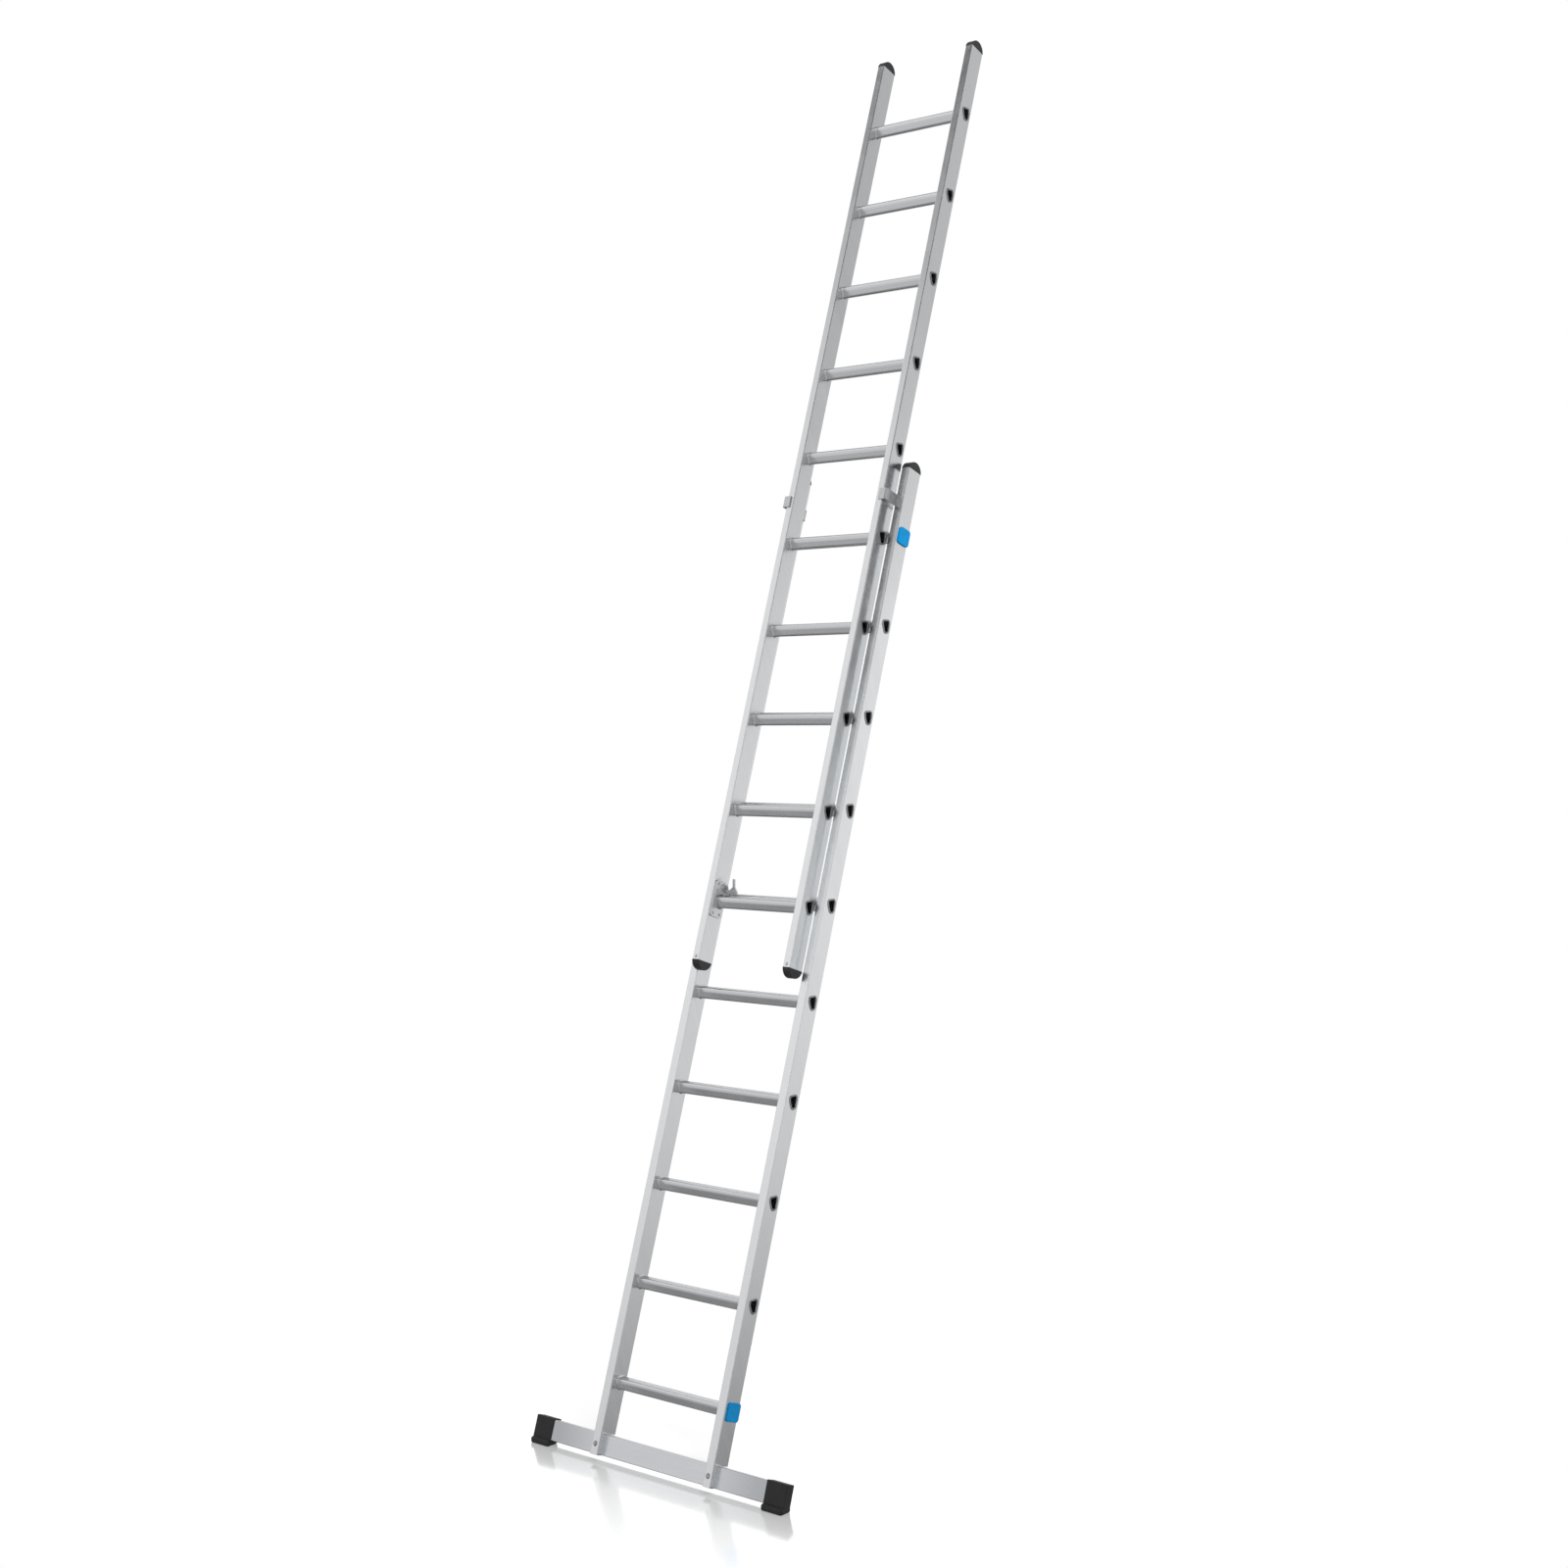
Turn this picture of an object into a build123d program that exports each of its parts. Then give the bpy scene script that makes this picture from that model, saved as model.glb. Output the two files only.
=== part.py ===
from build123d import *
import os
from collections import namedtuple
from math import cos, radians, sin, tan

# Two-section aluminium extension ladder with a stabiliser bar, leaning at its working angle.
# Millimetres. +X runs across the rungs, +Y is the side that it leans towards, +Z is up.
# The origin is on the ground, under the middle of the stabiliser bar.

# How it stands
lean_angle = 18.0
raised_rungs = 5

# Rungs
rung_pitch = 280.0
rung_count = 10
rung_width = 29.0
rung_top = 18.0
rung_bottom = 17.0
rung_shoulder = 5.0
rung_keel = 15.0
rung_wall = 1.8
rung_corner_radius = 6.0
rung_flank_radius = 22.0
rung_keel_radius = 9.0
rung_set_back = 37.0
rung_hole_clearance = 0.1
groove_count = 4
groove_pitch = 4.0
groove_width = 1.5
groove_depth = 0.6
lip_reach = 4.0
lip_height = 1.8
lip_taper = 35.0
mouth_flare = 1.4
mouth_depth = 1.8
mouth_taper = 37.0
collar_reach = 3.0
collar_length = 5.0
collar_taper = 27.0

# Stiles
stile_depth = 61.0
stile_wall = 1.8
stile_edge_radius = 2.5
base_width = 440.0
base_stile_width = 27.0
base_below_rung = 200.0
base_above_rung = 208.0
fly_side_gap = 13.0
fly_stile_width = 24.0
fly_below_rung = 179.0
fly_above_rung = 223.0
fly_nest = 14.0
fly_drop = 19.0

# End caps
cap_rise = 26.0
cap_overhang = 0.5
cap_edge_radius = 1.5
cap_plug_length = 30.0
cap_plug_clearance = 0.15

# Covers over the ends of the lowest and the highest base rung
plug_depth = 50.0
plug_height = 51.0
plug_thickness = 5.0
plug_corner_radius = 9.0
plug_edge_radius = 1.5
plug_reach = 18.0
plug_clearance = 0.2

# Stabiliser bar and its rubber feet
bar_height = 58.0
bar_thickness = 25.0
bar_top_below_rung = 141.0
bar_set_back = 18.4
bar_half_length = 446.0
bar_clearance = 0.2
foot_inner_end = 389.0
foot_outer_end = 459.0
foot_wall = 3.0
foot_edge_radius = 4.0
foot_top_radius = 2.5
foot_sink = 6.0
sole_under_bar = 8.0
sole_height = 18.0
sole_end_spread = 1.0
sole_front_spread = 8.0
sole_rear_spread = 3.0
sole_corner_radius = 9.0
sole_roll_radius = 8.0
sole_ground_radius = 5.0

# Stabiliser bolts
bolt_radius = 4.0
bolt_clearance = 0.1
bolt_head_radius = 7.5
bolt_head_height = 4.0
nut_width = 13.0
nut_height = 6.5
bolt_end = 3.0

# Straps that hold the fly against the base
guide_above_rung = 106.0
guide_height = 34.0
guide_thickness = 4.0
guide_bend_ease = 0.5
guide_gap = 0.6
guide_lip_cover = 13.0
guide_rear_lip = 22.0
guide_rivet_depths = (18.0, 44.0)

# Rung hooks of the fly
hook_plate_depth = 49.0
hook_plate_height = 108.0
hook_plate_thickness = 4.0
hook_plate_radius = 8.0
hook_plate_rise = 8.0
hook_plate_set_back = 7.0
hook_rung_gap = 4.0
hook_rivet_edge = 10.0
hook_rivet_spacing = 20.0
latch_thickness = 5.0
latch_gap = 0.3
latch_pivot_front = 29.0
latch_pivot_up = 38.0
latch_boss_radius = 11.0
latch_boss_angle = 52.0
latch_seat_gap = 0.4
latch_toe_gap = 1.5
latch_toe_width = 8.0
latch_toe_drop = 17.0
latch_arm_height = 7.0
latch_corner_radius = 7.0
tab_thickness = 4.0
tab_front = 12.0
tab_base_width = 35.0
tab_post_width = 8.0
tab_post_inset = 19.0
tab_height = 43.0
tab_shoulder_height = 19.0
pin_radius = 4.0
pin_clearance = 0.05
pin_head_radius = 7.0
pin_head_height = 2.5

# Rivets
rivet_radius = 4.5
rivet_height = 2.4
rivet_taper = 35.0
cap_rivet_from_end = 9.0

# The fly runs between the base stiles
fly_width = base_width - 2 * (base_stile_width + fly_side_gap)

# Directions of the leaning ladder
lean = radians(lean_angle)
across_dir = Vector(1, 0, 0)
along_dir = Vector(0, sin(lean), cos(lean))
depth_dir = Vector(0, cos(lean), -sin(lean))
sides = {"left": -1, "right": 1}

# The lowest base rung's height over the ground, and its place over the middle of the bar's underside
bar_bottom_below_rung = bar_top_below_rung + bar_height
bar_rear = bar_set_back + bar_thickness
bar_middle = bar_set_back + bar_thickness / 2
first_rung_rise = sole_under_bar + bar_bottom_below_rung * cos(lean) + bar_rear * sin(lean)
first_rung_back = bar_bottom_below_rung * sin(lean) - bar_middle * cos(lean)
ladder_origin = Vector(0, first_rung_back, first_rung_rise)

Section = namedtuple("Section", "name width stile_width first_rung front below above")
base = Section("base", base_width, base_stile_width, 0.0, 0.0, base_below_rung, base_above_rung)
fly = Section("fly", fly_width, fly_stile_width, raised_rungs * rung_pitch - fly_drop,
              fly_nest - stile_depth, fly_below_rung, fly_above_rung)


def place(across, along, depth):
    return ladder_origin + across_dir * across + along_dir * along + depth_dir * depth


def cross_plane(across, along, depth):
    return Plane(origin=place(across, along, depth), x_dir=across_dir, z_dir=along_dir)


def side_plane(across, along, depth):
    return Plane(origin=place(across, along, depth), x_dir=depth_dir, z_dir=across_dir)


def front_plane(across, along, depth):
    return Plane(origin=place(across, along, depth), x_dir=across_dir, z_dir=-depth_dir)


def rung_along(section, index):
    return section.first_rung + index * rung_pitch


def level_plane(section, index, across=0.0):
    """The rung's own section plane: local x is level and points back, local y is plumb."""
    axis = place(across, rung_along(section, index), section.front + rung_set_back)
    return Plane(origin=axis, x_dir=(0, 1, 0), z_dir=across_dir)


def rung_end(section, index, across, facing):
    """The rung's section plane at a stile's wall, facing outwards or inwards along X."""
    axis = place(across, rung_along(section, index), section.front + rung_set_back)
    return Plane(origin=axis, x_dir=(0, facing, 0), z_dir=across_dir * facing)


def stile_middle(section):
    return (section.width - section.stile_width) / 2


def lower_end(section):
    return section.first_rung - section.below


def upper_end(section):
    return rung_along(section, rung_count - 1) + section.above


def write(piece, node):
    piece.part.label = node
    export_step(piece.part, f"parts/{node}.step")


os.makedirs("parts", exist_ok=True)

# Rung sections: flat tread, short upright flanks and a rounded keel
with BuildSketch() as rung_outer:
    with BuildLine():
        Polyline((-rung_width / 2, rung_top), (rung_width / 2, rung_top), (rung_width / 2, rung_shoulder),
                 (rung_keel / 2, -rung_bottom), (-rung_keel / 2, -rung_bottom), (-rung_width / 2, rung_shoulder),
                 close=True)
    make_face()
    fillet(rung_outer.vertices().group_by(Axis.Y)[1], rung_flank_radius)
    fillet(rung_outer.vertices().group_by(Axis.Y)[-1], rung_corner_radius)
    fillet(rung_outer.vertices().group_by(Axis.Y)[0], rung_keel_radius)


def grown_rung(amount):
    with BuildSketch() as grown:
        add(rung_outer.sketch)
        offset(amount=amount, mode=Mode.REPLACE)
    return grown.sketch


rung_bore = grown_rung(-rung_wall)
rung_lip = grown_rung(lip_reach)
rung_mouth = grown_rung(mouth_flare - rung_wall)
rung_collar = grown_rung(collar_reach)
rung_hole = grown_rung(rung_hole_clearance)
lip_recess = grown_rung(lip_reach + plug_clearance)
plug_spigot = grown_rung(-rung_wall - plug_clearance)
hook_hole = grown_rung(hook_rung_gap)

# Stiles: box tubes with a hole in both side walls for each rung
for section in (base, fly):
    for hand, side in sides.items():
        with BuildPart() as stile:
            with BuildSketch(cross_plane(side * stile_middle(section), lower_end(section),
                                         section.front + stile_depth / 2)):
                RectangleRounded(section.stile_width, stile_depth, stile_edge_radius)
                RectangleRounded(section.stile_width - 2 * stile_wall, stile_depth - 2 * stile_wall,
                                 stile_edge_radius - stile_wall / 2, mode=Mode.SUBTRACT)
            extrude(amount=upper_end(section) - lower_end(section))
            with BuildSketch(*[level_plane(section, index) for index in range(rung_count)]):
                add(rung_hole)
            extrude(amount=side * section.width, mode=Mode.SUBTRACT)
            if section is base:
                # The rear of the foot is cut away for the stabiliser bar
                with BuildSketch(side_plane(side * stile_middle(base), -bar_top_below_rung + bar_clearance,
                                            bar_set_back - bar_clearance)):
                    Rectangle(2 * stile_depth, 2 * base_below_rung, align=(Align.MIN, Align.MAX))
                extrude(amount=base_stile_width, both=True, mode=Mode.SUBTRACT)
                with BuildSketch(front_plane(side * stile_middle(base), -bar_top_below_rung - bar_height / 2, 0)):
                    Circle(bolt_radius + bolt_clearance)
                extrude(amount=-bar_set_back, mode=Mode.SUBTRACT)
        write(stile, f"{section.name}_stile_{hand}")

# Rungs: grooved tubes through both stiles, flared outside each wall and swaged to a collar inside
with BuildSketch() as tread:
    add(rung_outer.sketch)
    with Locations((0, rung_top)):
        with GridLocations(groove_pitch, 0, groove_count, 1):
            Rectangle(groove_width, 2 * groove_depth, mode=Mode.SUBTRACT)

for section in (base, fly):
    outside = section.width / 2
    inside = outside - section.stile_width
    for index in range(rung_count):
        with BuildPart() as rung:
            with BuildSketch(level_plane(section, index)):
                add(tread.sketch)
            extrude(amount=outside, both=True)
            with BuildSketch(*[rung_end(section, index, side * outside, side) for side in sides.values()]):
                add(rung_lip)
            extrude(amount=lip_height, taper=lip_taper)
            with BuildSketch(*[rung_end(section, index, side * inside, -side) for side in sides.values()]):
                add(rung_collar)
            extrude(amount=collar_length, taper=collar_taper)
            with BuildSketch(level_plane(section, index)):
                add(rung_bore)
            extrude(amount=outside + lip_height, both=True, mode=Mode.SUBTRACT)
            with BuildSketch(*[rung_end(section, index, side * (outside + lip_height), -side)
                               for side in sides.values()]):
                add(rung_mouth)
            extrude(amount=mouth_depth, taper=mouth_taper, mode=Mode.SUBTRACT)
        write(rung, f"{section.name}_rung_{index + 1:02d}")

# End caps: an arched head as large as the stile, on a plug that fits inside it
cap_ends = [(base, "base_cap", upper_end(base), 1), (fly, "fly_top_cap", upper_end(fly), 1),
            (fly, "fly_bottom_cap", lower_end(fly), -1)]
for section, name, end, way in cap_ends:
    for hand, side in sides.items():
        with BuildPart() as cap:
            with BuildSketch(side_plane(side * stile_middle(section), end, section.front)):
                with BuildLine():
                    Line((-cap_overhang, 0), (stile_depth + cap_overhang, 0))
                    ThreePointArc((stile_depth + cap_overhang, 0), (stile_depth / 2, way * cap_rise),
                                  (-cap_overhang, 0))
                make_face()
            extrude(amount=section.stile_width / 2 + cap_overhang, both=True)
            fillet(cap.edges().filter_by(GeomType.CIRCLE), cap_edge_radius)
            with BuildSketch(cross_plane(side * stile_middle(section), end, section.front + stile_depth / 2)):
                RectangleRounded(section.stile_width - 2 * (stile_wall + cap_plug_clearance),
                                 stile_depth - 2 * (stile_wall + cap_plug_clearance), stile_edge_radius)
            extrude(amount=-way * cap_plug_length)
        write(cap, f"{name}_{hand}")

# Small rivets beside the caps, on the front faces
base_rivet_places = [front_plane(side * stile_middle(base), upper_end(base) - cap_rivet_from_end, base.front)
                     for side in sides.values()]
fly_rivet_places = [front_plane(side * stile_middle(fly), along, fly.front) for side in sides.values()
                    for along in (upper_end(fly) - cap_rivet_from_end, lower_end(fly) + cap_rivet_from_end)]
for node, places in (("base_cap_rivets", base_rivet_places), ("fly_cap_rivets", fly_rivet_places)):
    with BuildPart() as rivets:
        with BuildSketch(*places):
            Circle(rivet_radius)
        extrude(amount=rivet_height, taper=rivet_taper)
    write(rivets, node)

# Covers over the open ends of the lowest and the highest base rung
for level, index in (("lower", 0), ("upper", rung_count - 1)):
    for hand, side in sides.items():
        with BuildPart() as cover:
            with BuildSketch(side_plane(side * base_width / 2, rung_along(base, index),
                                        stile_depth - plug_depth / 2)):
                RectangleRounded(plug_depth, plug_height, plug_corner_radius)
            extrude(amount=side * plug_thickness)
            fillet(cover.faces().sort_by(Axis.X)[-1 if side > 0 else 0].edges(), plug_edge_radius)
            with BuildSketch(level_plane(base, index, side * base_width / 2)):
                add(lip_recess)
            extrude(amount=side * (lip_height + plug_clearance), mode=Mode.SUBTRACT)
            with BuildSketch(level_plane(base, index, side * (base_width / 2 + lip_height + plug_clearance))):
                add(plug_spigot)
            extrude(amount=-side * plug_reach)
        write(cover, f"rung_plug_{level}_{hand}")

# Stabiliser bar: a box tube that sits in the notches of the base stiles
bar_bolt_places = [front_plane(side * stile_middle(base), -bar_top_below_rung - bar_height / 2, 0)
                   for side in sides.values()]
with BuildPart() as bar:
    with BuildSketch(side_plane(0, -bar_top_below_rung - bar_height / 2, bar_middle)):
        RectangleRounded(bar_thickness, bar_height, stile_edge_radius)
        RectangleRounded(bar_thickness - 2 * stile_wall, bar_height - 2 * stile_wall,
                         stile_edge_radius - stile_wall / 2, mode=Mode.SUBTRACT)
    extrude(amount=bar_half_length, both=True)
    with BuildSketch(*bar_bolt_places):
        Circle(bolt_radius + bolt_clearance)
    extrude(amount=-2 * bar_rear, mode=Mode.SUBTRACT)
write(bar, "stabiliser_bar")

# Bolts through the stiles' front walls and the bar, with a nut behind
bolt_length = bar_rear + nut_height + bolt_end
with BuildPart() as bolts:
    with BuildSketch(*bar_bolt_places):
        Circle(bolt_head_radius)
    extrude(amount=bolt_head_height, taper=rivet_taper)
    with BuildSketch(*bar_bolt_places):
        Circle(bolt_radius)
    extrude(amount=-bolt_length)
write(bolts, "stabiliser_bolts")

nut_places = [front_plane(side * stile_middle(base), -bar_top_below_rung - bar_height / 2, bar_rear)
              for side in sides.values()]
with BuildPart() as nuts:
    with BuildSketch(*nut_places):
        RegularPolygon(nut_width / 2, 6, major_radius=False)
        Circle(bolt_radius + bolt_clearance, mode=Mode.SUBTRACT)
    extrude(amount=-nut_height)
write(nuts, "stabiliser_nuts")

# Rubber feet: boots over the bar's ends, leaning with it, on a rolled sole that lies flat on the ground
foot_middle = (foot_inner_end + foot_outer_end) / 2
foot_length = foot_outer_end - foot_inner_end
foot_depth = bar_thickness + 2 * foot_wall
sole_length = foot_length + 2 * sole_end_spread
sole_depth = foot_depth / cos(lean) + sole_front_spread + sole_rear_spread
sole_inner_end = foot_inner_end - sole_end_spread
boot_axis = Axis((0, 0, 0), along_dir)
bar_underside = place(0, -bar_bottom_below_rung, bar_middle)
boot_middle = bar_underside.Y - (bar_underside.Z - sole_height / 2) * tan(lean)
sole_middle = boot_middle + (sole_rear_spread - sole_front_spread) / 2
for hand, side in sides.items():
    with BuildPart() as sole:
        with BuildSketch(Plane((side * foot_middle, sole_middle, 0))):
            RectangleRounded(sole_length, sole_depth, sole_corner_radius)
        extrude(amount=sole_height)
        fillet(sole.edges().group_by(Axis.Z)[0], sole_ground_radius)
        fillet(sole.edges().group_by(Axis.Z)[-1], sole_roll_radius)
    with BuildPart() as foot:
        with BuildSketch(cross_plane(side * foot_middle, -bar_top_below_rung + foot_wall, bar_middle)):
            RectangleRounded(foot_length, foot_depth, foot_edge_radius)
        extrude(amount=-bar_height - foot_wall - foot_sink)
        fillet(foot.edges().group_by(boot_axis)[-1], foot_top_radius)
        add(sole.part)
        with BuildSketch(side_plane(side * sole_inner_end, -bar_top_below_rung - bar_height / 2, bar_middle)):
            Rectangle(bar_thickness + 2 * bar_clearance, bar_height + 2 * bar_clearance)
        extrude(amount=side * (bar_half_length + bar_clearance - sole_inner_end), mode=Mode.SUBTRACT)
    write(foot, f"stabiliser_foot_{hand}")

# Guide straps: from the base stile's rear face, along its inner face, to a lip over the fly stile's front face
guide_along = rung_along(base, rung_count - 1) + guide_above_rung - guide_height / 2
base_inner = base_width / 2 - base_stile_width
fly_inner = fly_width / 2 - fly_stile_width
guide_web = base_inner - guide_thickness / 2
guide_front = fly.front - guide_gap - guide_thickness / 2
guide_rear = stile_depth + guide_thickness / 2
guide_bend_radius = stile_edge_radius - guide_bend_ease + guide_thickness / 2
for hand, side in sides.items():
    with BuildPart() as guide:
        with BuildSketch(cross_plane(0, guide_along, 0)):
            with BuildLine():
                FilletPolyline((side * (fly_width / 2 - guide_lip_cover), guide_front),
                               (side * guide_web, guide_front), (side * guide_web, guide_rear),
                               (side * (base_inner + guide_rear_lip), guide_rear), radius=guide_bend_radius)
            trace(line_width=guide_thickness)
        extrude(amount=guide_height)
    write(guide, f"guide_bracket_{hand}")

guide_rivet_places = [Plane(origin=place(side * (base_inner - guide_thickness), guide_along + guide_height / 2, depth),
                            x_dir=depth_dir, z_dir=across_dir * -side)
                      for side in sides.values() for depth in guide_rivet_depths]
with BuildPart() as guide_rivets:
    with BuildSketch(*guide_rivet_places):
        Circle(rivet_radius)
    extrude(amount=rivet_height, taper=rivet_taper)
write(guide_rivets, "guide_rivets")

# Hook plates: riveted to the fly stiles' inner faces, round the ends of the lowest fly rung
hook_plate_along = fly.first_rung + hook_plate_rise
hook_plate_middle = fly.front + hook_plate_set_back + hook_plate_depth / 2
hooked_rung = level_plane(base, raised_rungs)
pivot_point = hooked_rung.from_local_coords((-latch_pivot_front, latch_pivot_up, 0))
plate_inner = fly_inner - hook_plate_thickness
for hand, side in sides.items():
    with BuildPart() as hook_plate:
        with BuildSketch(side_plane(side * fly_inner, hook_plate_along, hook_plate_middle)):
            RectangleRounded(hook_plate_depth, hook_plate_height, hook_plate_radius)
        extrude(amount=-side * hook_plate_thickness)
        with BuildSketch(level_plane(fly, 0)):
            add(hook_hole)
        with BuildSketch(Plane(origin=(0, pivot_point.Y, pivot_point.Z), x_dir=(0, 1, 0), z_dir=across_dir)):
            Circle(pin_radius + pin_clearance)
        extrude(amount=side * fly_width, mode=Mode.SUBTRACT)
    write(hook_plate, f"hook_bracket_{hand}")

hook_rivet_spots = [(-hook_plate_depth / 2 + hook_rivet_edge, hook_plate_height / 2 - hook_rivet_edge),
                    (-hook_plate_depth / 2 + hook_rivet_edge, hook_plate_height / 2 - hook_rivet_edge - hook_rivet_spacing),
                    (-hook_plate_depth / 2 + hook_rivet_edge, -hook_plate_height / 2 + hook_rivet_edge),
                    (hook_plate_depth / 2 - hook_rivet_edge, -hook_plate_height / 2 + hook_rivet_edge)]
hook_rivet_places = [Plane(origin=place(side * plate_inner, hook_plate_along + up, hook_plate_middle + back),
                           x_dir=depth_dir, z_dir=across_dir * -side)
                     for side in sides.values() for back, up in hook_rivet_spots]
with BuildPart() as hook_rivets:
    with BuildSketch(*hook_rivet_places):
        Circle(rivet_radius)
    extrude(amount=rivet_height, taper=rivet_taper)
write(hook_rivets, "hook_rivets")

# Rung hooks: each turns on its pin, sits on the base rung and reaches down behind it; the post is a thumb tab
latch_outer = plate_inner - latch_gap
latch_inner = latch_outer - latch_thickness
seat = rung_top + latch_seat_gap
toe = rung_width / 2 + latch_toe_gap
arm_top = seat + latch_arm_height
boss_wide = latch_boss_radius * cos(radians(latch_boss_angle))
boss_high = latch_boss_radius * sin(radians(latch_boss_angle))
for hand, side in sides.items():
    with BuildPart() as pin:
        with BuildSketch(Plane(origin=(side * fly_inner, pivot_point.Y, pivot_point.Z), x_dir=(0, 1, 0),
                               z_dir=across_dir * -side)):
            Circle(pin_radius)
        extrude(amount=fly_inner - latch_inner + latch_gap)
        with BuildSketch(Plane(origin=(side * (latch_inner - latch_gap), pivot_point.Y, pivot_point.Z),
                               x_dir=(0, 1, 0), z_dir=across_dir * -side)):
            Circle(pin_head_radius)
        extrude(amount=pin_head_height)
    write(pin, f"latch_pin_{hand}")

    with BuildPart() as latch:
        with BuildSketch(level_plane(base, raised_rungs, side * latch_outer)) as hook:
            with BuildLine():
                Polyline((-latch_pivot_front - boss_high, latch_pivot_up - boss_wide),
                         (-rung_width / 2 - latch_toe_gap, seat), (toe, seat), (toe, seat - latch_toe_drop),
                         (toe + latch_toe_width, seat - latch_toe_drop), (toe + latch_toe_width, arm_top),
                         (-rung_width / 2 + latch_toe_gap, arm_top),
                         (-latch_pivot_front + boss_wide, latch_pivot_up + boss_high),
                         close=True)
            make_face()
            fillet(hook.vertices().group_by(Axis.X)[-1].sort_by(Axis.Y)[-1], latch_corner_radius)
            with Locations((-latch_pivot_front, latch_pivot_up)):
                Circle(latch_boss_radius)
                Circle(pin_radius + pin_clearance, mode=Mode.SUBTRACT)
        extrude(amount=-side * latch_thickness)
        tab_root = latch_outer - tab_base_width
        tab_post = latch_outer - tab_post_inset - tab_post_width
        tab_low = seat + latch_toe_gap
        with BuildSketch(Plane(origin=hooked_rung.from_local_coords((-tab_front, 0, 0)), x_dir=across_dir,
                               z_dir=(0, -1, 0))):
            with BuildLine():
                Polyline((side * latch_outer, tab_low), (side * tab_root, tab_low),
                         (side * tab_root, arm_top), (side * tab_post, tab_low + tab_shoulder_height),
                         (side * tab_post, tab_low + tab_height),
                         (side * (tab_post + tab_post_width), tab_low + tab_height),
                         (side * (tab_post + tab_post_width), tab_low + tab_shoulder_height),
                         (side * latch_outer, arm_top), close=True)
            make_face()
        extrude(amount=tab_thickness)
    write(latch, f"latch_{hand}")
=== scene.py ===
import math

import bpy
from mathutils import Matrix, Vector

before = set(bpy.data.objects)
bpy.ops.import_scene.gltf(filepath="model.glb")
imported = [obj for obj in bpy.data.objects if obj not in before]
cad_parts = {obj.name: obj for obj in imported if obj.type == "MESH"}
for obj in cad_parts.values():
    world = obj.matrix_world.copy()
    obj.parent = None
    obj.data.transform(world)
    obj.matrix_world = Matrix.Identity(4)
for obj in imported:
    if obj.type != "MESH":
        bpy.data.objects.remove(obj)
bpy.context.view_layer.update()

# Base stiles: the two uprights of the lower section, rectangular tubes of aluminium.
# They are pressed through a die, which leaves fine lines down each face, and cut to length.
# Handling has left faint duller patches. The lines lean with the ladder.
lean = math.radians(18)
lines_per_metre, bands_per_metre, patches_per_metre = 420, 95, 16
line_depth = 0.000008


class Value:
    """A shader socket that takes part in Python sums."""

    def __init__(self, socket):
        self.socket = socket

    def node(self, kind, settings, inputs, output=0):
        tree = self.socket.id_data
        made = tree.nodes.new(kind)
        for name, setting in settings.items():
            setattr(made, name, setting)
        for key, given in inputs.items():
            if isinstance(given, Value):
                tree.links.new(given.socket, made.inputs[key])
            else:
                made.inputs[key].default_value = given
        return Value(made.outputs[output])

    def sum(self, operation, first, second):
        return self.node("ShaderNodeMath", {"operation": operation}, {0: first, 1: second})

    def __add__(self, other):
        return self.sum("ADD", self, other)

    def __mul__(self, other):
        return self.sum("MULTIPLY", self, other)

    def __sub__(self, other):
        return self.sum("SUBTRACT", self, other)

    def __rsub__(self, other):
        return self.sum("SUBTRACT", other, self)

    __radd__ = __add__
    __rmul__ = __mul__

    def feeds(self, socket):
        self.socket.id_data.links.new(self.socket, socket)

    def axis(self, number):
        """One of a point's three coordinates."""
        return self.node("ShaderNodeSeparateXYZ", {}, {0: self}, number)

    def from_middle(self):
        """How far a point lies to the left or right of the ladder's middle."""
        return self.sum("ABSOLUTE", self.axis(0), 0.0)

    def turned(self, angle, scale):
        """Coordinates turned about X and stretched to so many cycles a metre."""
        return self.node("ShaderNodeMapping", {}, {"Vector": self, "Rotation": (angle, 0, 0), "Scale": scale})

    def grain(self, scale, detail=2.0, roughness=0.5):
        return self.node("ShaderNodeTexNoise", {},
                         {"Vector": self, "Scale": scale, "Detail": detail, "Roughness": roughness})

    def spread(self, low, high, to_low=0.0, to_high=1.0):
        """This value's span from low to high, brought to another span and held there."""
        return self.node("ShaderNodeMapRange", {"clamp": True},
                         {"Value": self, "From Min": low, "From Max": high, "To Min": to_low, "To Max": to_high})

    def blend(self, first, second):
        """From the first colour to the second, as this value goes from 0 to 1."""
        return self.node("ShaderNodeMix", {"data_type": "RGBA"}, {0: self, 6: first, 7: second}, 2)

    def relief(self, depth):
        """A surface normal that follows this value, in metres of depth."""
        return self.node("ShaderNodeBump", {}, {"Height": self, "Strength": 1.0, "Distance": depth})


def source(tree, kind, output):
    """The value that a pattern or a light's strength starts from."""
    return Value(tree.nodes.new(kind).outputs[output])


def new_finish(name, **constants):
    """A material with its shader's sockets, and the object's own coordinates to lay a pattern on."""
    material = bpy.data.materials.new(name)
    material.use_nodes = True
    shader = material.node_tree.nodes["Principled BSDF"].inputs
    for socket, value in constants.items():
        shader[socket.replace("_", " ")].default_value = value
    return material, shader, source(material.node_tree, "ShaderNodeTexCoord", "Object")


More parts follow.
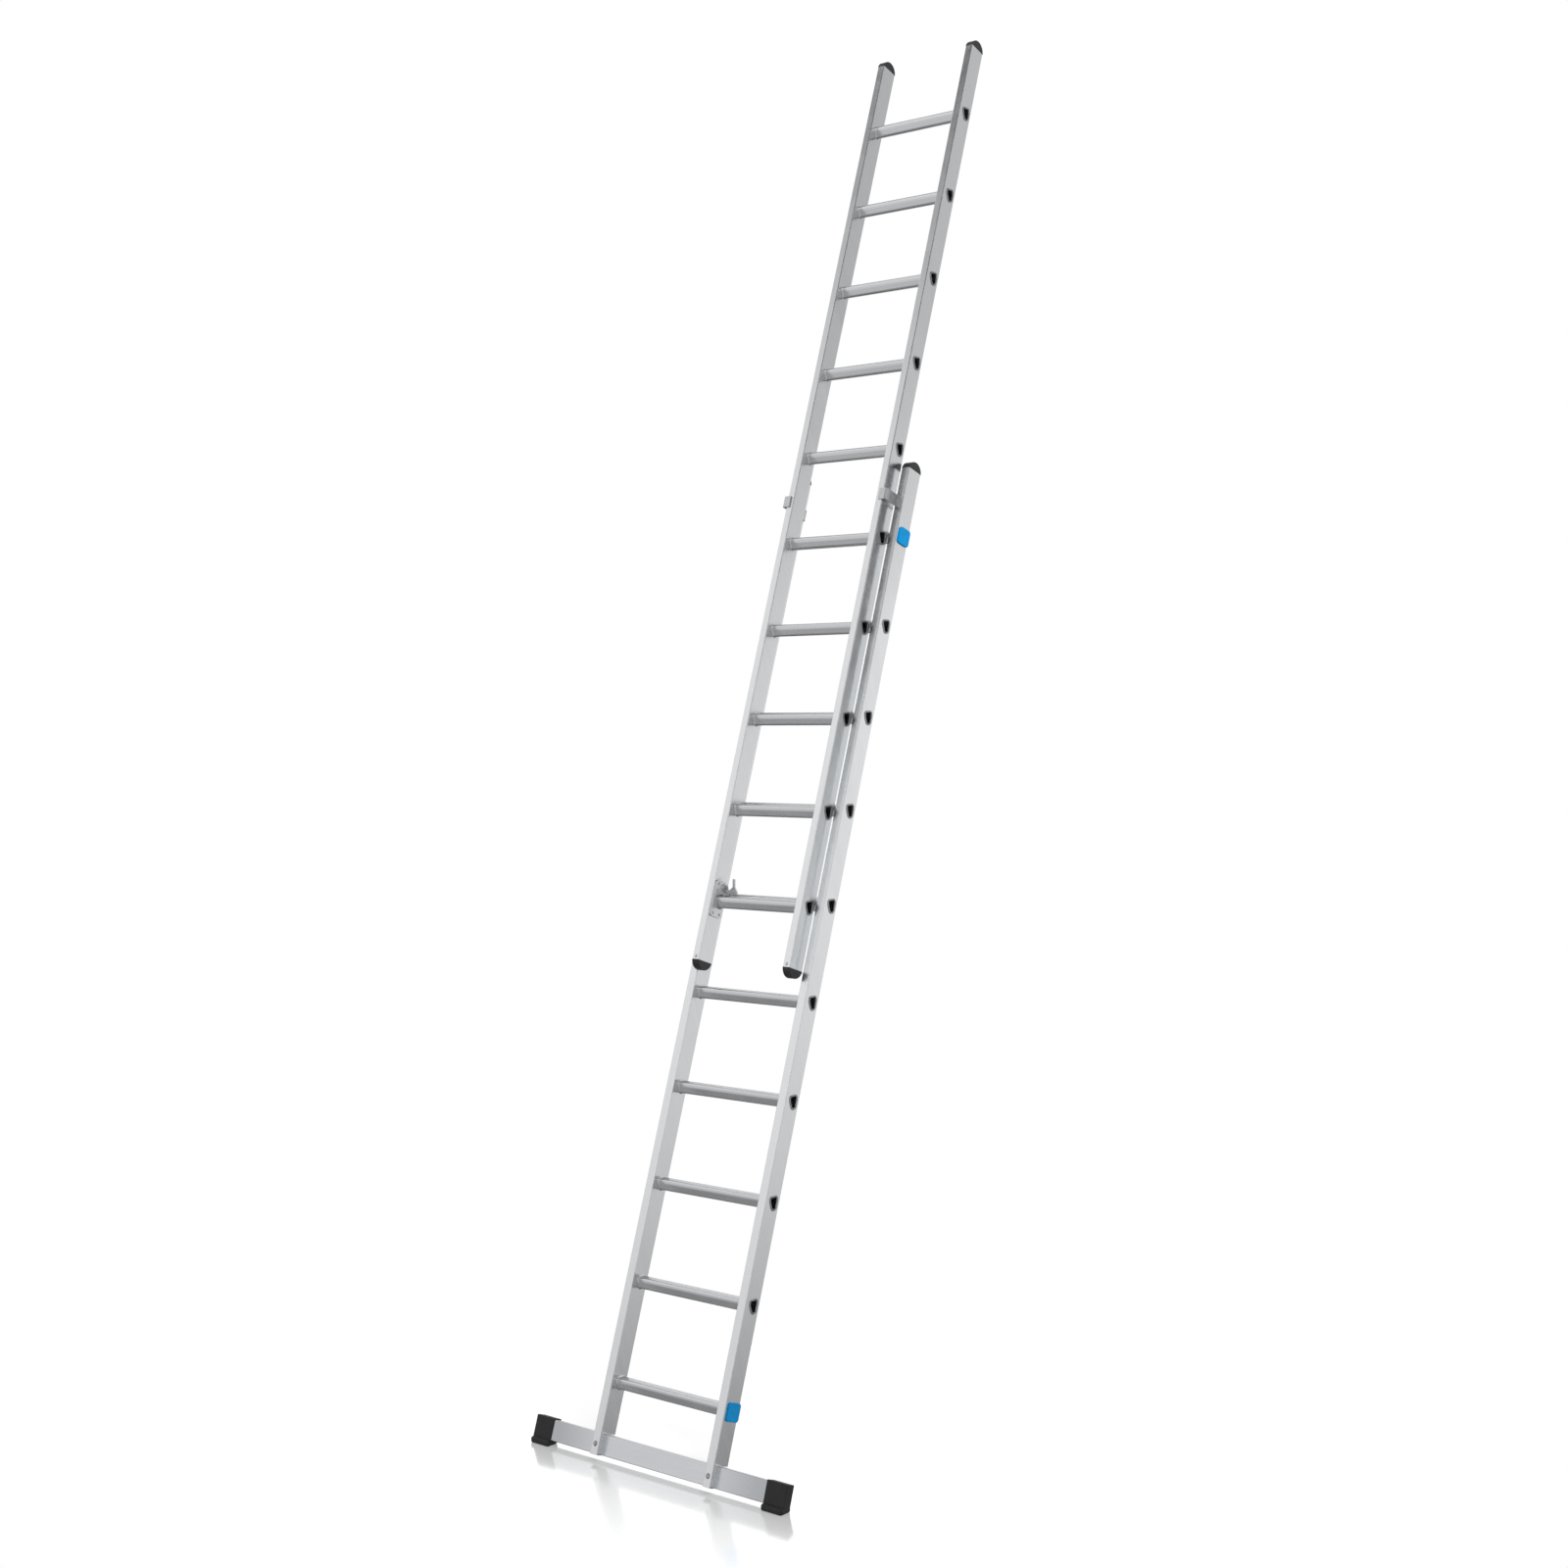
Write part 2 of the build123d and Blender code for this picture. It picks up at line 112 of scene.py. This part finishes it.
def box_tube(name, turn, length_axis, dull, bright, roughness):
    """An extruded tube's finish, with its metal's colour left to feed to the shader."""
    finish, shader, place = new_finish(name, Metallic=1.0)
    tube = place.turned(turn, (1, 1, 1))

    def drawn_out(across, along):
        scale = [across, across, across]
        scale[length_axis] = along
        return tube.turned(0, scale)

    die_lines = drawn_out(lines_per_metre, 2.5).grain(1.0, 2.0, 0.5)
    bands = drawn_out(bands_per_metre, 1.2).grain(1.0, 1.0)
    patches = drawn_out(patches_per_metre, 5).grain(1.0, 3.0, 0.55)
    colour = (die_lines * 0.35 + bands * 0.25 + patches * 0.40).spread(0.3, 0.7).blend(dull, bright)
    (patches.spread(0.35, 0.7, 0.0, 0.07) + die_lines * 0.08 + roughness).feeds(shader["Roughness"])
    (die_lines * 0.8 + bands * 0.2).relief(line_depth).feeds(shader["Normal"])
    return finish, shader, place, colour


def dress(material, *nodes):
    for node in nodes:
        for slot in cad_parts[node].material_slots:
            slot.material = material


stile_finish, shader, place, colour = box_tube("stile_aluminium", -lean, 2, (0.752, 0.766, 0.782, 1),
                                               (0.822, 0.834, 0.847, 1), roughness=0.17)
colour.feeds(shader["Base Color"])
dress(stile_finish, "base_stile_left", "base_stile_right")

# Base rungs: ten hollow treads of aluminium, pushed through holes in both stiles.
# They come from another die, so their lines run across the ladder and shine a little less.
# Each end is swaged against the wall. Past the stile's inner face the flared lip and the tube's inside carry painted
# shade, and the metal there is rougher.
rung_numbers = range(1, 11)
base_stile_inside = 0.194


def rung_finish(name, stile_inside):
    """Clean between the stiles, whose inside lies stile_inside metres from the middle; outwards from there, painted
    shade of the flared lip and the hollow tube, and rougher.
    """
    finish, shader, place = new_finish(name, Metallic=1.0)
    die_lines = place.turned(0, (3, 700, 700)).grain(1.0, 3.0, 0.6)
    scuffs = place.turned(0, (14, 60, 60)).grain(1.0, 3.0, 0.6)
    clean = (die_lines * 0.5 + scuffs * 0.5).spread(0.3, 0.7).blend((0.725, 0.735, 0.750, 1), (0.80, 0.81, 0.82, 1))
    # Painted shade: the flared lips and the tube's inside past the stile's inner face are darkened.
    painted_shade_ends = place.from_middle().spread(stile_inside, stile_inside + 0.002)
    painted_shade_ends.blend(clean, (0.36, 0.365, 0.375, 1)).feeds(shader["Base Color"])
    (scuffs.spread(0.35, 0.7, 0.0, 0.08) + die_lines * 0.08 + painted_shade_ends * 0.15 + 0.17).feeds(shader["Roughness"])
    die_lines.relief(0.000015).feeds(shader["Normal"])
    return finish


dress(rung_finish("rung_aluminium", base_stile_inside), *[f"base_rung_{number:02d}" for number in rung_numbers])

# End caps: black plastic arches that close the tops of the base stiles.
# Each is moulded with a plug below it, which is pressed into the tube.
# The mould was spark-eroded, which leaves a fine even grain.
cap_finish, shader, place = new_finish("black_plastic", Metallic=0.0, IOR=1.5)
grain = place.grain(1400, 2.0, 0.6)
cloud = place.grain(38, 3.0, 0.55)
black = (cloud * 0.6 + grain * 0.4).spread(0.35, 0.65).blend((0.011, 0.011, 0.012, 1), (0.020, 0.020, 0.021, 1))
black.feeds(shader["Base Color"])
(cloud * 0.16 + grain * 0.12 + 0.30).feeds(shader["Roughness"])
grain.relief(0.00009).feeds(shader["Normal"])
dress(cap_finish, "base_cap_left", "base_cap_right")

# Cap rivets: small steel blind rivets with domed heads.
# They are pulled through the front wall of each stile, into the plug of its cap.
rivet_finish, shader, place = new_finish("rivet_steel", Metallic=1.0)
turned_marks = place.grain(900, 2.0, 0.5)
turned_marks.spread(0.3, 0.7).blend((0.50, 0.51, 0.525, 1), (0.68, 0.69, 0.70, 1)).feeds(shader["Base Color"])
(turned_marks * 0.2 + 0.2).feeds(shader["Roughness"])
turned_marks.relief(0.00008).feeds(shader["Normal"])
dress(rivet_finish, "base_cap_rivets")

# Rung covers: blue plastic shells over the ends of the lowest and the highest base rung.
# They are moulded with a spigot that snaps into the tube, and their face is lightly grained.
cover_finish, shader, place = new_finish("blue_plastic", Metallic=0.0, IOR=1.5, Specular_IOR_Level=0.15)
grain = place.grain(1100, 2.0, 0.6)
flow = place.grain(70, 2.0, 0.5)
blue = (flow * 0.7 + grain * 0.3).spread(0.35, 0.65).blend((0.000, 0.250, 0.590, 1), (0.001, 0.300, 0.680, 1))
blue.feeds(shader["Base Color"])
(flow * 0.12 + grain * 0.10 + 0.30).feeds(shader["Roughness"])
grain.relief(0.00008).feeds(shader["Normal"])
dress(cover_finish, *[f"rung_plug_{end}_{side}" for end in ("lower", "upper") for side in ("left", "right")])

# Stabiliser bar: a wide aluminium tube across the foot, which keeps the ladder from tipping sideways.
# It lies in the notches of the stiles and is extruded as they are, with its lines along it.
# Outside the stiles it grows dull, where boots and the ground wear it.
wear_start, wear_end = 0.20, 0.36
bar_finish, shader, place, clean = box_tube("bar_aluminium", lean, 0, (0.695, 0.712, 0.738, 1),
                                            (0.765, 0.780, 0.803, 1), roughness=0.19)
wear = place.from_middle().spread(wear_start, wear_end)
wear.blend(clean, (0.525, 0.540, 0.565, 1)).feeds(shader["Base Color"])
dress(bar_finish, "stabiliser_bar")

# Bolts and nuts: one steel bolt through each stile and the bar, with a nut behind it.
# They are turned, and their dark zinc coat is slightly cloudy.
zinc_finish, shader, place = new_finish("zinc_steel", Metallic=1.0)
bloom = place.grain(420, 3.0, 0.6)
bloom.spread(0.3, 0.7).blend((0.34, 0.35, 0.37, 1), (0.50, 0.505, 0.515, 1)).feeds(shader["Base Color"])
(bloom * 0.25 + 0.18).feeds(shader["Roughness"])
bloom.relief(0.00006).feeds(shader["Normal"])
dress(zinc_finish, "stabiliser_bolts", "stabiliser_nuts")

# Feet: black rubber boots pulled over both ends of the bar.
# They are moulded with a thick sole that spreads on the ground, and the rubber has a dull bloom.
rubber_finish, shader, place = new_finish("boot_rubber", Metallic=0.0, IOR=1.45)
grain = place.grain(900, 3.0, 0.65)
bloom = place.grain(26, 3.0, 0.6)
black = (bloom * 0.7 + grain * 0.3).spread(0.35, 0.65).blend((0.011, 0.011, 0.012, 1), (0.021, 0.021, 0.022, 1))
black.feeds(shader["Base Color"])
(bloom * 0.2 + grain * 0.15 + 0.42).feeds(shader["Roughness"])
grain.relief(0.00014).feeds(shader["Normal"])
dress(rubber_finish, "stabiliser_foot_left", "stabiliser_foot_right")

# Guide straps: steel strips that reach round the fly stiles and hold them against the base.
# They are bent to shape and riveted to the base stiles near the top.
# Their zinc coat has set in broad crystals that catch the light one by one.
crystals_per_metre = 260.0


def zinc_coat(name, dull, bright):
    """Steel under a zinc coat, with crystals from a dull to a bright tone."""
    finish, shader, place = new_finish(name, Metallic=1.0)
    crystals = place.node("ShaderNodeTexVoronoi", {"feature": "F1"},
                          {"Vector": place, "Scale": crystals_per_metre}, "Color")
    tone = crystals.node("ShaderNodeSeparateColor", {}, {"Color": crystals})
    fine = place.grain(1300, 2.0, 0.5)
    (tone * 0.7 + fine * 0.3).spread(0.15, 0.85).blend(dull, bright).feeds(shader["Base Color"])
    (tone * 0.16 + fine * 0.10 + 0.26).feeds(shader["Roughness"])
    fine.relief(0.00006).feeds(shader["Normal"])
    return finish


strap_finish = zinc_coat("galvanised_steel", (0.62, 0.63, 0.64, 1), (0.76, 0.765, 0.775, 1))
dress(strap_finish, "guide_bracket_left", "guide_bracket_right")
dress(rivet_finish, "guide_rivets")

# Fly section: the upper ladder, which slides in front of the base, with a cap on each end of its stiles.
# Its stiles and rungs are extruded and swaged like those of the base, only narrower.
fly_stile_inside = 0.157
dress(stile_finish, "fly_stile_left", "fly_stile_right")
dress(rung_finish("fly_rung_aluminium", fly_stile_inside), *[f"fly_rung_{number:02d}" for number in rung_numbers])
dress(cap_finish, *[f"fly_{end}_cap_{side}" for end in ("top", "bottom") for side in ("left", "right")])
dress(rivet_finish, "fly_cap_rivets")

# Rung hooks: two steel hooks that drop over a base rung and carry the fly.
# Each turns on a pin in a plate that is riveted round the lowest fly rung.
# Hooks and plates are pressed from sheet, and their zinc finish is set lighter than the straps'.
hook_finish = zinc_coat("hook_steel", (0.77, 0.775, 0.785, 1), (0.87, 0.872, 0.876, 1))
dress(hook_finish, "hook_bracket_left", "hook_bracket_right", "latch_left", "latch_right")
dress(rivet_finish, "hook_rivets")
dress(zinc_finish, "latch_pin_left", "latch_pin_right")

# Floor: a sheet of glossy white acrylic under the feet, which fades into the white studio round it.
# It takes the ladder's soft shadow and shows the feet and the bar again, fainter.
# The mirror image is strongest in the strip under the bar.
floor_radius, fade_start, fade_end = 2.6, 0.7, 1.6
mirror_strength = 0.72
bpy.ops.mesh.primitive_circle_add(vertices=96, radius=floor_radius, fill_type="NGON", location=(0, 0, 0))
floor = bpy.context.object
floor.name = "floor"
floor.visible_glossy = False
floor_finish, shader, place = new_finish("white_acrylic", Base_Color=(1, 1, 1, 1), Roughness=0.15,
                                         Emission_Strength=0.3)
depth = place.axis(1)
before_bar = depth.spread(-0.42, -0.02, 0.0, mirror_strength)
behind_bar = depth.spread(0.02, 0.16, 0.0, mirror_strength)
(before_bar - behind_bar).feeds(shader["Metallic"])
source(floor_finish.node_tree, "ShaderNodeLightPath", "Is Camera Ray").feeds(shader["Emission Color"])
reach = place.node("ShaderNodeVectorMath", {"operation": "LENGTH"}, {0: place}, "Value")
reach.spread(fade_start, fade_end, 1.0, 0.0).feeds(shader["Alpha"])
floor.data.materials.append(floor_finish)

# Studio: a white room whose walls the aluminium mirrors, each lit by height, from the floor to the ceiling.
# A broad soft light stands at the front left. The ceiling in front and the camera's side above head height are dark.
# A narrow strip light stands at the right, and the floor behind the ladder is lit.
world = bpy.data.worlds.new("studio")
bpy.context.scene.world = world
world.use_nodes = True
world.cycles.sampling_method = "NONE"
backdrop = world.node_tree.nodes["Background"].inputs
backdrop["Color"].default_value = (1, 1, 1, 1)
direction = source(world.node_tree, "ShaderNodeTexCoord", "Generated")
height = direction.axis(2)
fill_light = 0.50


def lit_by_height(*steps):
    """A strength that runs through these pairs of a height and a strength, from the lowest up."""
    strength = steps[0][1]
    for (low, below), (high, above) in zip(steps, steps[1:]):
        if above != below:
            strength = height.spread(low, high, 0.0, above - below) + strength
    return strength


def towards(side, low, high):
    """From 0 to 1 as a direction turns to this side of the room, given as x and y."""
    turn = direction.node("ShaderNodeVectorMath", {"operation": "DOT_PRODUCT"}, {0: direction, 1: (*side, 0)}, "Value")
    return turn.spread(low, high)


right_wall = lit_by_height((-0.36, 0.09), (-0.22, 0.63), (-0.08, 1.00), (0.04, 1.00), (0.18, 0.49), (0.26, 0.62),
                           (0.40, 0.54), (0.72, 0.87))
right_corner = (1 - towards((-0.375, 0.927), 0.478, 0.53)) * height.spread(-0.25, -0.05, 0.0, 0.60)
right_wall = right_wall * (1.20 - right_corner)
left_wall = lit_by_height((-0.45, 0.20), (-0.15, 0.95), (0.36, 0.95), (0.52, 0.72), (0.80, 0.92))
soft_light = lit_by_height((-0.50, 0.30), (-0.22, 0.70), (0.12, 0.70), (0.36, 0.97))
soft_light = soft_light * (towards((0.242, -0.97), 0.37, 0.49) * 0.11 + 0.89)
dark_ceiling = towards((0, -1), 0.20, 0.42) * height.spread(0.59, 0.71, 0.0, 0.90)
camera_side = lit_by_height((0.15, 0.45), (0.36, 1.20), (0.38, 1.20), (0.50, 0.00))
walls = right_wall
for wall, share in ((left_wall, towards((-0.65, 0.76), 0.45, 0.8)),
                    (soft_light - dark_ceiling, towards((-0.71, -0.71), 0.35, 0.65)),
                    (camera_side, towards((0.67, -0.74), 0.4, 0.75)),
                    (1.5, towards((0.87, -0.5), 0.86, 0.92) * height.spread(0.24, 0.32)),
                    (0.75, towards((0, 1), 0.45, 0.62) * height.spread(-0.6, -0.44, 1.0, 0.0))):
    walls = walls + share * (wall - walls)
seen, glossy, through = [source(world.node_tree, "ShaderNodeLightPath", f"Is {ray} Ray")
                         for ray in ("Camera", "Glossy", "Transmission")]
mirrored = seen.sum("MAXIMUM", glossy, through)
(seen + (1 - seen) * (mirrored * walls + (1 - mirrored) * fill_light)).feeds(backdrop["Strength"])

# Side lamp: a broad soft lamp at the right, above head height.
# It lights the plastic and rubber on the ladder's outer side and casts its shadow on the floor.
lamp = bpy.data.objects.new("side_lamp", bpy.data.lights.new("side_lamp", "AREA"))
lamp.data.size = 1.6
lamp.data.energy = 91
lamp.visible_glossy = False
lamp.location = (2.4, -1.0, 4.2)
ladder_middle = Vector((0, 0.6, 2.2))
lamp.rotation_euler = (ladder_middle - lamp.location).to_track_quat("-Z", "Y").to_euler()
bpy.context.scene.collection.objects.link(lamp)

# Camera: where the photograph was taken from, two metres up and well to the right of the ladder.
# Its lens is a little longer than a standard one, and it looks slightly down.
look_down, turn_left = 0.0240, 0.6777
camera = bpy.data.objects.new("camera", bpy.data.cameras.new("camera"))
camera.data.sensor_width = 36
camera.data.lens = 48.718
camera.location = (3.8675, -4.2464, 2.0206)
camera.rotation_euler = (math.pi / 2 - look_down, 0, turn_left)
bpy.context.scene.collection.objects.link(camera)
bpy.context.scene.camera = camera
bpy.context.scene.view_settings.view_transform = "Standard"
